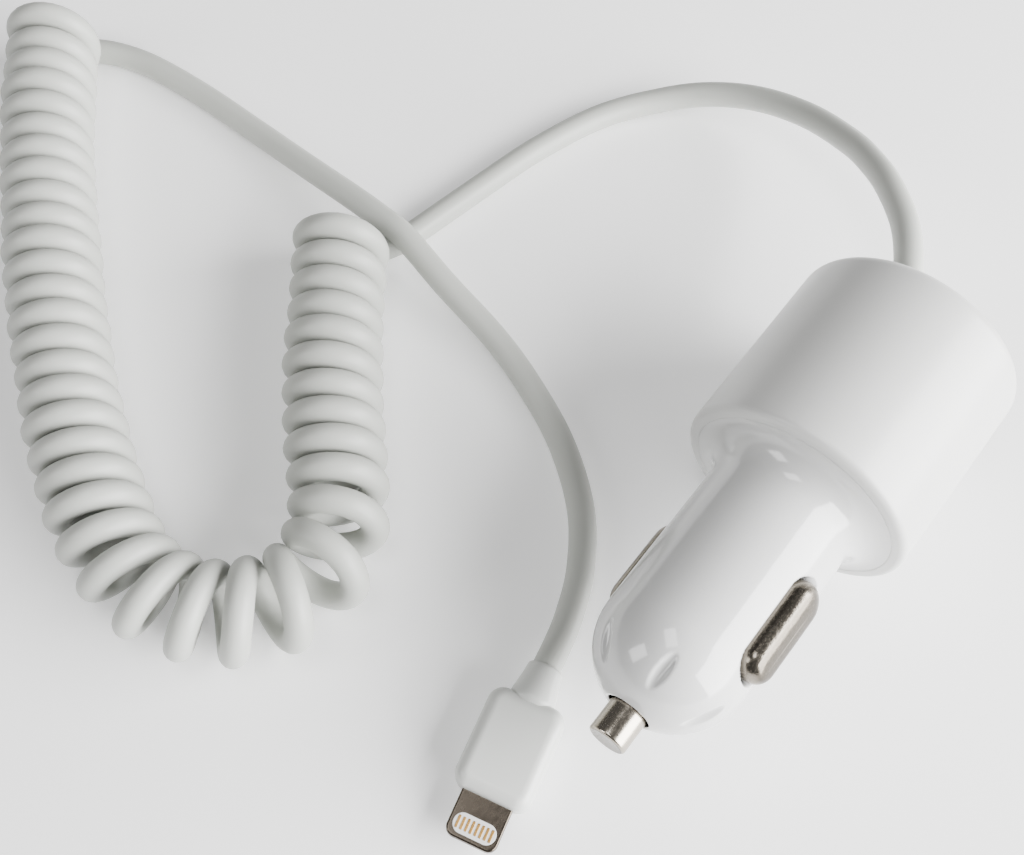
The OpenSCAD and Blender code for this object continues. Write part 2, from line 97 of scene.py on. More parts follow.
def skin(name, grid, ring=False, values=None, flow=None):
    """A closed surface through grid[row, column]. Each row is a loop whose ends meet, and each is joined to
    the next. The last row is joined to the first when ring is set, and otherwise each end row is joined to
    the point in its middle. values is one number for each grid point, and flow the length along the rows for
    a UV map."""
    grid = np.asarray(grid, float)
    rows, cols = grid.shape[:2]
    i, j = np.meshgrid(np.arange(rows if ring else rows - 1), np.arange(cols), indexing="ij")
    corners = [(i, j), (i, j + 1), (i + 1, j + 1), (i + 1, j)]
    quads = np.stack([(a % rows) * cols + b % cols for a, b in corners], -1).reshape(-1, 4)
    points = grid.reshape(-1, 3)
    k = np.arange(0 if ring else cols)
    tris = np.concatenate([
        np.stack([(k + 1) % cols, k, np.full_like(k, rows * cols)], -1),
        np.stack([(rows - 1) * cols + k, (rows - 1) * cols + (k + 1) % cols,
                  np.full_like(k, rows * cols + 1)], -1)])
    if not ring:
        points = np.vstack([points, grid[0].mean(0), grid[-1].mean(0)])
    a, b, c, d = (points[quads[:, n]] for n in range(4))
    if np.einsum("ij,ij->", np.cross(c - a, d - b), a + b + c + d) < 0:
        quads, tris = quads[:, ::-1], tris[:, ::-1]
        corners = corners[::-1]
    mesh = bpy.data.meshes.new(name)
    loops = np.concatenate([quads.ravel(), tris.ravel()]).astype(np.int32)
    starts = np.concatenate([np.arange(len(quads)) * 4,
                             len(quads) * 4 + np.arange(len(tris)) * 3]).astype(np.int32)
    mesh.vertices.add(len(points))
    mesh.vertices.foreach_set("co", (points * MM).astype(np.float32).ravel())
    mesh.loops.add(len(loops))
    mesh.loops.foreach_set("vertex_index", loops)
    mesh.polygons.add(len(starts))
    mesh.polygons.foreach_set("loop_start", starts)
    mesh.polygons.foreach_set("use_smooth", np.ones(len(starts), bool))
    if flow is not None:
        layer = mesh.uv_layers.new(name="along")
        reach = np.append(flow, flow[-1])
        uv = np.stack([np.stack([reach[a] * MM, b / cols], -1) for a, b in corners], 2).reshape(-1, 2)
        uv = np.vstack([uv, np.zeros((tris.size, 2))])
        layer.data.foreach_set("uv", uv.astype(np.float32).ravel())
    if values is not None:
        inside = mesh.attributes.new("inside", "FLOAT", "POINT")
        flat = np.asarray(values, np.float32).ravel()
        inside.data.foreach_set("value", np.append(flat, np.zeros(len(points) - len(flat), np.float32)))
    mesh.update(calc_edges=True)
    mesh.validate()
    piece = bpy.data.objects.new(name, mesh)
    bpy.context.scene.collection.objects.link(piece)
    return piece


def about_axis(radius, along, turn):
    """A point at a radius from the charger's axis, at an angle from level right, along from the shoulder."""
    return np.stack([radius * np.cos(turn), SHOULDER_Y + along + 0 * turn,
                     AXIS_Z + radius * np.sin(turn)], -1)


def in_plug(points):
    """The phone plug's own frame, drawn along -Y from the end of the lead, turned about Z and set down."""
    c, s = np.cos(PLUG_TURN), np.sin(PLUG_TURN)
    return np.asarray(points) @ np.array([[c, s, 0], [-s, c, 0], [0, 0, 1]]) + PLUG_AT


def arc(centre, radius, start, end, count):
    """Points on a circle's arc, from one angle to another, in degrees."""
    a = np.radians(np.linspace(start, end, count))
    return np.stack([centre[0] + radius * np.cos(a), centre[1] + radius * np.sin(a)], -1)


def line(start, end, count):
    """Points on a straight line, without its first one."""
    return np.linspace(start, end, count + 1)[1:]


def lathe(name, profile, columns=128, ring=False, **more):
    """A profile of [radius, distance from the shoulder] turned about the charger's axis."""
    p = np.asarray(profile, float)
    turn = np.linspace(0, 2 * np.pi, columns, endpoint=False)
    return skin(name, about_axis(p[:, :1], p[:, 1:], turn[None, :]), ring=ring, **more)


def rounded_loop(width, length, radius, count=12):
    """A rectangle with quarter circles for its corners, count points on each."""
    a = np.radians(np.linspace(0, 90, count))
    loops = []
    for n, (sx, sy) in enumerate([(1, 1), (-1, 1), (-1, -1), (1, -1)]):
        loops.append(np.stack([sx * (width / 2 - radius) + radius * np.cos(a + n * np.pi / 2),
                               sy * (length / 2 - radius) + radius * np.sin(a + n * np.pi / 2)], -1))
    return np.concatenate(loops)


def slab(width, length, corner, low, high, edge, middle=(0, 0), power=2.0, steps=7):
    """A flat block whose outline is a rounded rectangle and whose edges roll over. At the angle a the
    outline has drawn in by edge x (1 - cos a) and risen by edge x sin a, where the cosine and the sine are
    raised to 2 / power, for a fuller edge."""
    a = np.radians(np.linspace(0, 90, steps))
    inward = edge * (1 - np.cos(a) ** (2 / power))
    upward = edge * np.sin(a) ** (2 / power)
    rings = [(edge + 0.3 * min(width, length), low), (edge + 0.05, low)]
    rings += [(inward[n], low + edge - upward[n]) for n in range(steps - 1, -1, -1)]
    rings += [(inward[n], high - edge + upward[n]) for n in range(steps)]
    rings += [(edge + 0.05, high), (edge + 0.3 * min(width, length), high)]
    grid = []
    for inset, z in rings:
        inset = min(inset, 0.49 * min(width, length))
        loop = rounded_loop(width - 2 * inset, length - 2 * inset, max(corner - inset, 0.02))
        grid.append(np.column_stack([loop + middle, np.full(len(loop), z)]))
    return np.array(grid)


# Materials

class Wire:
    """A shader socket that takes part in arithmetic, which adds the Math nodes."""

    def __init__(self, finish, socket):
        self.finish, self.socket = finish, socket

    def maths(self, operation, first, second=0.0):
        return self.finish.node("ShaderNodeMath", {"operation": operation}, {0: first, 1: second})

    def __add__(self, other):
        return self.maths("ADD", self, other)

    def __radd__(self, other):
        return self.maths("ADD", other, self)

    def __sub__(self, other):
        return self.maths("SUBTRACT", self, other)

    def __rsub__(self, other):
        return self.maths("SUBTRACT", other, self)

    def __mul__(self, other):
        return self.maths("MULTIPLY", self, other)

    def __rmul__(self, other):
        return self.maths("MULTIPLY", other, self)


class Finish:
    """One material: a Principled shader whose varying sockets are fed by what node() makes."""

    def __init__(self, name, colour, roughness, metallic=0.0, **fixed):
        self.material = bpy.data.materials.new(name)
        self.material.use_nodes = True
        self.tree = self.material.node_tree
        self.tree.nodes.clear()
        self.shader = self.tree.nodes.new("ShaderNodeBsdfPrincipled")
        output = self.tree.nodes.new("ShaderNodeOutputMaterial")
        self.tree.links.new(self.shader.outputs[0], output.inputs[0])
        self.material.diffuse_color = (*colour, 1)
        self.set("Base Color", (*colour, 1))
        self.set("Roughness", roughness)
        self.set("Metallic", metallic)
        for key, value in fixed.items():
            self.set(key.replace("_", " "), value)
        self.place = self.node("ShaderNodeTexCoord", {}, {}, "Object")

    def put(self, socket, value):
        if isinstance(value, Wire):
            self.tree.links.new(value.socket, socket)
        else:
            socket.default_value = value

    def set(self, name, value):
        self.put(self.shader.inputs[name], value)

    def node(self, kind, settings, sockets, output=0):
        made = self.tree.nodes.new(kind)
        for key, value in settings.items():
            if key == "stops":
                ramp = made.color_ramp.elements
                while len(ramp) < len(value):
                    ramp.new(0.5)
                for stop, (at, shade) in zip(ramp, value):
                    stop.position, stop.color = at, (shade, shade, shade, 1)
            else:
                setattr(made, key, value)
        for key, value in sockets.items():
            self.put(made.inputs[key], value)
        return Wire(self, made.outputs[output])

    def noise(self, size_mm, detail=2.0, stretch=(1, 1, 1), along=None):
        """Noise whose features are about size_mm across, stretched along the axes."""
        scaled = self.node("ShaderNodeMapping", {}, {"Vector": along or self.place,
                           "Scale": tuple(1 / (size_mm * MM * s) for s in stretch)})
        return self.node("ShaderNodeTexNoise", {}, {"Vector": scaled, "Scale": 1.0, "Detail": detail})

    def ramp(self, value, *stops):
        return self.node("ShaderNodeValToRGB", {"stops": stops}, {"Fac": value})

    def mix(self, amount, first, second):
        return self.node("ShaderNodeMix", {"data_type": "RGBA"},
                         {0: amount, 6: (*first, 1) if isinstance(first, tuple) else first,
                          7: (*second, 1) if isinstance(second, tuple) else second}, 2)

    def bump(self, height, depth_mm, strength=1.0):
        self.set("Normal", self.node("ShaderNodeBump", {},
                 {"Strength": strength, "Distance": depth_mm * MM, "Height": height}))


def moulded(name, colour, roughness, shade, texture_mm, depth_mm):
    """Moulded plastic: colour that drifts a little, a gloss that varies and a faint waviness."""
    f = Finish(name, colour, roughness)
    drift = f.noise(9.0)
    f.set("Base Color", f.mix(drift, tuple(c * shade for c in colour), colour))
    f.set("Roughness", f.noise(2.2, 3.0) * 0.10 + (roughness - 0.05))
    f.bump(f.noise(texture_mm, 3.0), depth_mm)
    return f


def metal(name, colour, dark, roughness, grain_mm, depth_mm, stretch=(1, 1, 1)):
    """Plated metal: a fine grain, stretched where stretch says, and larger patches. Where they are high the
    colour is the lighter one and the surface is rougher."""
    f = Finish(name, colour, roughness, 1.0)
    grain = f.noise(grain_mm, 3.0, stretch)
    patch = f.noise(2.5, 2.0)
    f.set("Base Color", f.mix(grain * 0.6 + patch * 0.4, dark, colour))
    f.set("Roughness", grain * 0.22 + patch * 0.12 + (roughness - 0.17))
    f.bump(grain, depth_mm)
    return f


def rubbed_and_shaded(name, colour, dark, roughness, depth_mm):
    """Nickel darkened where the inside attribute says, by a share that noise varies: on the pin's end face
    this stands for wear, on the side contacts it is painted shade."""
    f = metal(name, colour, dark, roughness, 0.22, depth_mm, (1, 1.8, 1))
    face = f.node("ShaderNodeAttribute", {"attribute_name": "inside"}, {}, "Fac")
    plain = Wire(f, f.shader.inputs["Base Color"].links[0].from_socket)
    # the dark colour is wear on the pin's end and painted shade on the side contacts
    f.set("Base Color", f.mix(face * (f.noise(0.5, 3.0) * 0.3 + 0.75), plain, (0.05, 0.042, 0.032)))
    return f


def shell_finish():
    """Gloss white plastic, with painted shade: near black where the slots and the pin's hole open into the
    barrel.
    """
    f = moulded("gloss_shell_white", (0.60, 0.60, 0.594), 0.14, 0.97, 3.0, 0.015)
    f.set("Coat Weight", 0.6)
    f.set("Coat Roughness", 0.05)
    # painted shade: where the inside attribute is 1 the colour goes near black, standing for the shadow in
    # the slots and the pin's hole
    inside = f.node("ShaderNodeAttribute", {"attribute_name": "inside"}, {}, "Fac")
    plain = f.shader.inputs["Base Color"].links[0].from_socket
    f.set("Base Color", f.mix(inside, Wire(f, plain), (0.02, 0.019, 0.018)))
    return f


def lead_finish():
    """Soft satin jacket: fine drawing lines along the lead, faint smudges and a dull sheen."""
    f = Finish("satin_lead_white", (0.425, 0.435, 0.41), 0.38, Specular_IOR_Level=0.5)
    smudge = f.noise(14.0, 3.0)
    f.set("Base Color", f.mix(smudge, (0.40, 0.41, 0.38), (0.45, 0.46, 0.43)))
    flow = f.node("ShaderNodeUVMap", {"uv_map": "along"}, {})
    drawn = f.noise(1.0, 2.0, (9.0, 60.0, 1.0), flow)
    f.set("Roughness", f.noise(3.0, 3.0) * 0.16 + 0.36)
    f.bump(drawn * 0.6 + f.noise(0.8, 2.0) * 0.4, 0.015)
    return f


def laminate(name, colour):
    """Circuit board: solder mask over a faint weave, with traces a shade lighter."""
    f = Finish(name, colour, 0.35)
    traces = f.node("ShaderNodeTexBrick", {}, {"Vector": f.place, "Scale": 300.0, "Color1": (1, 1, 1, 1),
                    "Color2": (0.7, 0.7, 0.7, 1), "Mortar": (0, 0, 0, 1), "Mortar Size": 0.04})
    f.set("Base Color", f.mix(traces, tuple(c * 1.6 for c in colour), colour))
    f.bump(f.noise(0.5), 0.01)
    return f


WHITE = shell_finish()
HEAD_WHITE = moulded("satin_head_white", (0.60, 0.60, 0.588), 0.30, 0.975, 2.5, 0.012)
NICKEL = rubbed_and_shaded("pin_nickel", (0.49, 0.443, 0.378), (0.39, 0.35, 0.29), 0.24, 0.004)
# on the side contacts the darkening of this finish is painted shade
DULL_NICKEL = rubbed_and_shaded("contact_nickel", (0.33, 0.30, 0.255), (0.21, 0.185, 0.15), 0.25, 0.02)
LEAD = lead_finish()
PLUG_WHITE = moulded("satin_plug_white", (0.57, 0.58, 0.555), 0.30, 0.97, 1.2, 0.01)
TAB_METAL = metal("dark_tab_nickel", (0.098, 0.083, 0.067), (0.086, 0.072, 0.058), 0.24, 0.5, 0.001,
                  (1, 3, 1))
GOLD = metal("contact_gold", (0.50, 0.30, 0.10), (0.36, 0.20, 0.06), 0.3, 0.15, 0.004)
PAD = moulded("pad_white", (0.68, 0.68, 0.665), 0.4, 0.97, 0.5, 0.006)
STEEL = metal("port_steel", (0.70, 0.70, 0.69), (0.52, 0.52, 0.51), 0.26, 0.3, 0.006, (1, 5, 1))
SPRING = metal("spring_steel", (0.55, 0.55, 0.56), (0.35, 0.35, 0.36), 0.3, 0.2, 0.004)
BRASS = metal("contact_brass", (0.76, 0.60, 0.32), (0.55, 0.42, 0.2), 0.3, 0.2, 0.004)
COPPER = metal("winding_copper", (0.72, 0.38, 0.2), (0.5, 0.22, 0.1), 0.3, 0.15, 0.02, (8, 8, 1))
CAN = metal("capacitor_sleeve", (0.12, 0.14, 0.22), (0.06, 0.07, 0.12), 0.35, 0.4, 0.004)
FERRITE = moulded("ferrite_grey", (0.07, 0.068, 0.065), 0.6, 0.7, 0.3, 0.02)
EPOXY = moulded("black_epoxy", (0.025, 0.025, 0.026), 0.5, 0.7, 0.25, 0.01)
DARK = moulded("carrier_black", (0.03, 0.03, 0.032), 0.45, 0.7, 0.8, 0.01)
PORT_WHITE = moulded("port_insulator_white", (0.78, 0.78, 0.76), 0.4, 0.96, 0.6, 0.008)
RED = moulded("wire_red", (0.5, 0.03, 0.025), 0.4, 0.8, 0.5, 0.01)
BLACK = moulded("wire_black", (0.02, 0.02, 0.02), 0.4, 0.7, 0.5, 0.01)
BOARD = laminate("board_green", (0.02, 0.12, 0.06))

INNER = {
    "pin_spring": SPRING, "feed_rivet": BRASS, "contact_carrier": DARK, "contact_spring_right": SPRING,
    "contact_spring_left": SPRING, "circuit_board": BOARD, "port_shell": STEEL, "port_insulator": PORT_WHITE,
    "port_contacts": GOLD, "inductor_core": FERRITE, "inductor_winding": COPPER, "input_capacitor": CAN,
    "output_capacitor": CAN, "control_chip": EPOXY, "chip_legs": STEEL, "flyback_diode": EPOXY,
    "chip_resistors": EPOXY, "feed_wire": RED, "earth_wire_right": BLACK, "earth_wire_left": BLACK,
    "lead_cores": RED, "plug_board": BOARD}
for node, finish in INNER.items():
    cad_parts[node].data.materials.clear()
    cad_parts[node].data.materials.append(finish.material)


def fit(piece, finish, body, slot, *nodes):
    """Gives a piece its finish and its body, and hides the CAD nodes that it stands for. The slot argument
    is not used.
    """
    piece.data.materials.append(finish.material)
    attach(piece, body)
    if nodes:
        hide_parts(*nodes)
    return piece


# Charger

def soft_step(x):
    """0 below 0, 1 above 1, and 3x^2 - 2x^3 between."""
    x = np.clip(x, 0, 1)
    return x * x * (3 - 2 * x)


def shell_moulding():
    """The barrel, dome and shoulder: a profile turned about the axis, then pushed in along its normal by the
    depth of the six recesses and the two slots. The dome is part of an ellipse. A recess is as deep as a
    constant less the squares of the distances from its middle, eased to 0 by (x + sqrt(x^2 + 0.003)) / 2. A
    slot is a pill outline with a soft lip. Columns crowd at the slots."""
    dome_mouth_r, slot_rows_end, seam = 3.3, -9.8, 0.04
    a = np.linspace(np.arccos(dome_mouth_r / BARREL_R), 0, 96)
    dome = np.stack([BARREL_R * np.cos(a), -(BARREL_LEN + DOME_LEN * np.sin(a))], -1)
    outer = np.vstack([
        [[PIN_HOLE_R, PIN_HOLE_END]], line([PIN_HOLE_R, PIN_HOLE_END], [PIN_HOLE_R, -36.2], 4),
        [[3.04, -36.36], [3.14, -36.43]], dome,
        line([BARREL_R, -BARREL_LEN], [BARREL_R, slot_rows_end], 88),
        line([BARREL_R, slot_rows_end], [BARREL_R, -FILLET_R], 7),
        arc([BARREL_R + FILLET_R, -FILLET_R], FILLET_R, 180, 90, 24)[1:], [[14.3, 0.0]],
        arc([SPIGOT_R - seam, seam], seam, -85, 0, 4), line([SPIGOT_R, seam], [SPIGOT_R, SPIGOT_LEN], 3)])
    inner = np.vstack([
        line([SPIGOT_R, SPIGOT_LEN], [SPIGOT_BORE_R, SPIGOT_LEN], 2),
        line([SPIGOT_BORE_R, SPIGOT_LEN], [SPIGOT_BORE_R, SHOULDER_WALL], 2),
        line([SPIGOT_BORE_R, SHOULDER_WALL], [BORE_R, SHOULDER_WALL], 2),
        line([BORE_R, SHOULDER_WALL], [BORE_R, COLLAR_BORE_END], 6),
        line([BORE_R, COLLAR_BORE_END], [COLLAR_BORE_R, COLLAR_BORE_END], 2),
        line([COLLAR_BORE_R, COLLAR_BORE_END], [COLLAR_BORE_R, PIN_HOLE_END], 2)])
    profile = np.vstack([outer, inner])
    u = np.linspace(0, 2 * np.pi, 352, endpoint=False)
    turn = u - 0.45 * np.sin(2 * (u - ROLL)) / 2
    radius, along = profile[:, :1], profile[:, 1:]
    tangent = np.gradient(profile, axis=0)
    normal = np.stack([-tangent[:, 1], tangent[:, 0]], -1)
    normal /= np.linalg.norm(normal, axis=1)[:, None]
    on_shell = (np.arange(len(profile)) < len(outer) - 4)[:, None]
    recess_count, recess_depth, fall_ahead, fall_aside = 6, 0.7, 0.0843, 0.8
    arc_at = np.concatenate([[0], np.cumsum(np.linalg.norm(np.diff(profile, axis=0), axis=1))])
    deepest = arc_at[7 + int(np.argmin(np.abs(a - np.radians(34))))]
    depth = np.zeros((len(profile), len(turn)))
    for n in range(recess_count):
        centre = np.radians(85 - 360 / recess_count * n)
        aside = radius * np.sin(turn - centre) + 50 * (np.cos(turn - centre) < 0)
        ahead = arc_at[:, None] - deepest
        cut = recess_depth - fall_ahead * ahead ** 2 - fall_aside * aside ** 2
        depth = np.maximum(depth, 0.5 * (cut + np.sqrt(cut ** 2 + 0.003)) * (np.abs(ahead) < 4.2))
    depth = depth * on_shell
    # painted shade mask: 1 inside the slot pockets and on the pin hole's wall, which the finish turns near
    # black
    inside = np.zeros_like(depth)
    slot_depth = 1.55
    for side in (0, np.pi):
        aside = radius * np.sin(turn - ROLL - side) + 50 * (np.cos(turn - ROLL - side) < 0)
        ends = np.maximum(np.abs(along + CONTACT_MIDDLE) - (SLOT_LEN - SLOT_W) / 2, 0)
        within = SLOT_W / 2 - np.hypot(ends, aside)
        barrel = on_shell * (np.abs(radius - BARREL_R) < 0.01)
        pocket = soft_step((within + 0.04) / 0.16) * barrel
        depth = np.maximum(depth, slot_depth * pocket)
        inside = np.maximum(inside, soft_step((within + 0.02) / 0.08) * barrel)
    inside = np.maximum(inside, soft_step((3.12 - radius) / 0.1) * (along > -36.36) + 0 * turn)
    radius = radius + normal[:, :1] * depth
    along = along + normal[:, 1:] * depth
    return skin("shell_moulding", about_axis(radius, along, turn[None, :]), ring=True, values=inside)


def opening_grid(angles, rim_r, chord_ends, centre, outline, front, back):
    """One half of the back wall, as loops about its opening. They start at the wall's half circle and chord,
    draw in to the opening's outline by shares of the way, go round its edge on a quarter circle and through
    the wall, and come out again on the inner face."""
    rings = []
    x0, x1 = chord_ends

    def border(r):
        rim = np.stack([r * np.cos(angles), r * np.sin(angles)], -1)
        z = r * np.sin(angles[0])
        chord = np.stack([np.linspace(x0, x1, 61)[1:-1] * r, np.full(59, z)], -1)
        return np.vstack([rim, chord])

    for r, y in ((rim_r[0], front), (rim_r[1], back)):
        edge = border(r)
        bearing = np.arctan2(edge[:, 1] - centre[1], edge[:, 0] - centre[0])
        mouth = outline(bearing) + centre
        rings.append((edge, mouth, y))
    (edge_a, mouth_a, y_a), (edge_b, mouth_b, y_b) = rings
    out_a = edge_a - mouth_a
    out_b = edge_b - mouth_b
    unit_a = out_a / np.linalg.norm(out_a, axis=1)[:, None]
    soft = 0.3
    loops = [(mouth_a + out_a * t, y_a) for t in (1, 0.75, 0.5, 0.25, 0.12)]
    loops += [(mouth_a + unit_a * soft * (1 - np.sin(b)), y_a - soft * (1 - np.cos(b)))
              for b in np.radians(np.linspace(0, 90, 6))]
    loops += [(mouth_a + (mouth_b - mouth_a) * t, y_a - soft + (y_b - y_a + soft) * t) for t in (0.5, 1)]
    loops += [(mouth_b + out_b * t, y_b) for t in (0.3, 0.7, 1)]
    return np.array([np.column_stack([p[:, 0], np.full(len(p), SHOULDER_Y + y), AXIS_Z + p[:, 1]])
                     for p, y in loops])


def head_moulding():
    """The head's sleeve, turned, with a back wall in two halves that run to the port's mouth and the lead's
    hole. The pieces share their edge points and are welded."""
    count, seam = 192, 0.05
    turn = np.arange(count) * 2 * np.pi / count
    back_r, wall_in = HEAD_R - BACK_ROUND, HEAD_LEN - BACK_WALL
    front_r, front = HEAD_R - FRONT_ROUND, FRONT_ROUND + seam
    profile = np.vstack([
        arc([back_r, wall_in], BACK_ROUND, 90, 0, 12), line([HEAD_R, wall_in], [HEAD_R, front], 24),
        arc([front_r, front], FRONT_ROUND, 0, -90, 14)[1:], line([front_r, seam], [14.44, 0.0], 3),
        [[14.41, 0.04]], line([SPIGOT_R, 0.3], [SPIGOT_R, wall_in], 6)])
    sleeve = about_axis(profile[:, :1], profile[:, 1:], turn[None, :])
    sleeve[0] = about_axis(np.full(count, back_r), np.full(count, HEAD_LEN), turn)
    step = 360 / count
    low, high = 3 * step, 180 - 3 * step
    top = np.radians(np.arange(low, high + 0.01, step))
    bottom = np.radians(np.arange(high, 360 + low + 0.01, step))

    def hole(bearing):
        return LEAD_HOLE_R * np.stack([np.cos(bearing), np.sin(bearing)], -1)

    def mouth(bearing):
        """A box with slightly rounded corners: (|x| / 6.7)^24 + (|y| / 3.01)^24 = 1, met from its middle."""
        c, s = np.cos(bearing), np.sin(bearing)
        reach = ((np.abs(c) / 6.7) ** 24 + (np.abs(s) / 3.01) ** 24) ** (-1 / 24)
        return np.stack([c, s], -1) * reach[:, None]

    ends = (np.cos(np.radians(low)), np.cos(np.radians(high)))
    rims = (back_r, SPIGOT_R)
    halves = [opening_grid(top, rims, (ends[1], ends[0]), LEAD_HOLE, hole, HEAD_LEN, wall_in),
              opening_grid(bottom, rims, ends, PORT_MIDDLE, mouth, HEAD_LEN, wall_in)]
    verts, faces, base = [], [], 0
    for grid in [sleeve] + halves:
        rows, cols = grid.shape[:2]
        i, j = np.meshgrid(np.arange(rows - 1), np.arange(cols), indexing="ij")
        k = (j + 1) % cols
        verts.append(grid.reshape(-1, 3))
        around = np.stack([i * cols + j, i * cols + k, (i + 1) * cols + k, (i + 1) * cols + j], -1)
        around = around.reshape(-1, 4)
        faces.append(base + (around if grid is sleeve else around[:, ::-1]))
        base += rows * cols
    points, faces = np.vstack(verts), np.vstack(faces)
    _, first, same = np.unique(np.round(points, 4), axis=0, return_index=True, return_inverse=True)
    mesh = bpy.data.meshes.new("head_moulding")
    mesh.from_pydata((points[first] * MM).tolist(), [], same.reshape(-1)[faces].tolist())
    mesh.polygons.foreach_set("use_smooth", np.ones(len(mesh.polygons), bool))
    mesh.validate()
    mesh.update()
    piece = bpy.data.objects.new("head_moulding", mesh)
    bpy.context.scene.collection.objects.link(piece)
    return piece


def drawn_contact(name, side):
    """A side contact pressed from sheet: pill outlines that draw in by 1 - cos a and rise by sin a, further
    at the ends than along the sides, and slide a little toward the nose. Each ring is its length, width,
    height and slide. The crest and the foot are darkened as painted shade, and the rounded edge between
    them keeps the plain colour, so that it reads as a bright band."""
    out = ROLL + (0 if side > 0 else np.pi)
    rings = [(CONTACT_LEN, CONTACT_W, height, 0) for height in (7.4, 8.6, 9.6)]
    foot, rise, end_draw, side_draw, slide = 10.1, 1.9, 2.2, 2.0, 0.5
    for angle in np.radians(np.linspace(0, 90, 16)):
        draw = 1 - np.cos(angle)
        rings.append((CONTACT_LEN - 2 * end_draw * draw, CONTACT_W - 2 * side_draw * draw,
                      foot + rise * np.sin(angle), slide * draw))
    rings += [(10.2, 1.2, 12.02, 0.5), (9.6, 0.3, 12.03, 0.5)]
    widths = np.array([ring[1] for ring in rings])
    # painted shade: darkens the crest (0.8) and the side wall (0.5), leaving the rounded edge between them
    # plain
    wear_and_shade = 0.8 * soft_step((5.4 - widths) / 1.5) + 0.5 * soft_step((widths - 5.7) / 0.25)
    sides = 96
    t = np.linspace(0, 2 * np.pi, sides, endpoint=False)
    grid = []
    for length, width, height, ahead in rings:
        y = width / 2 * np.sin(t) + np.sign(np.round(np.sin(t), 6)) * (length - width) / 2
        w = width / 2 * np.cos(t)
        grid.append(np.stack([height * np.cos(out) - w * np.sin(out),
                              SHOULDER_Y - CONTACT_MIDDLE - ahead + y,
                              AXIS_Z + height * np.sin(out) + w * np.cos(out)], -1))
    return skin(name, np.array(grid), values=np.repeat(wear_and_shade[:, None], sides, 1))


def turned_pin():
    """The centre pin, a turned profile: a slightly hollow end, a rolled rim, the shank, its collar and its
    stem. The end face is marked as worn."""
    columns, shank_r, rim_r, rim_at = 96, 2.6, 0.4, -40.636
    profile = np.vstack([
        [[0.02, -40.97], [1.2, -40.98], [1.9, -41.02]], arc([shank_r - rim_r, rim_at], rim_r, -90, 0, 8),
        line([shank_r, rim_at], [shank_r, -34.04], 8),
        [[4.3, -34.03], [4.3, -32.74], [1.7, -32.74], [1.7, -29.74], [0.02, -29.74]]])
    wear_and_shade = np.repeat((np.arange(len(profile)) < 5).astype(float)[:, None], columns, 1)
    return lathe("turned_pin", profile, columns, values=wear_and_shade)


def grommet():
    """The soft collar that the lead leaves by: a profile turned about the lead's own line, with a flange
    inside the wall and a rounded mouth outside it."""
    p = np.vstack([[[2.0, 26.9], [4.0, 26.9], [4.0, 27.95], [2.95, 27.95], [2.95, 30.05], [3.2, 30.05]],
                   line([3.2, 30.05], [3.2, 31.7], 3), arc([2.5, 31.7], 0.7, 0, 90, 8)[1:],
                   line([2.5, 32.4], [2.2, 32.4], 2), [[2.02, 32.25], [2.0, 30]]])
    turn = np.linspace(0, 2 * np.pi, 48, endpoint=False)
    grid = about_axis(p[:, :1], p[:, 1:], turn[None, :]) + np.array([LEAD_HOLE[0], 0, LEAD_HOLE[1]])
    return skin("grommet_moulding", grid, ring=True)


# Lead

def through(points, step):
    """A smooth line through points by a Catmull-Rom spline, with a point every step of its length."""
    p = np.asarray(points, float)
    p = np.vstack([2 * p[0] - p[1], p, 2 * p[-1] - p[-2]])
    t = np.linspace(0, 1, 40, endpoint=False)[None, :, None]
    a, b, c, d = p[:-3, None], p[1:-2, None], p[2:-1, None], p[3:, None]
    fine = 0.5 * (2 * b + (c - a) * t + (2 * a - 5 * b + 4 * c - d) * t ** 2
                  + (3 * b - a - 3 * c + d) * t ** 3)
    return evenly(np.vstack([fine.reshape(-1, p.shape[1]), p[-2]]), step)


def evenly(points, step):
    """The same line with its points evenly spaced along it."""
    along = np.concatenate([[0], np.cumsum(np.linalg.norm(np.diff(points, axis=0), axis=1))])
    at = np.linspace(0, along[-1], max(3, int(round(along[-1] / step)) + 1))
    return np.stack([np.interp(at, along, points[:, k]) for k in range(points.shape[1])], -1)


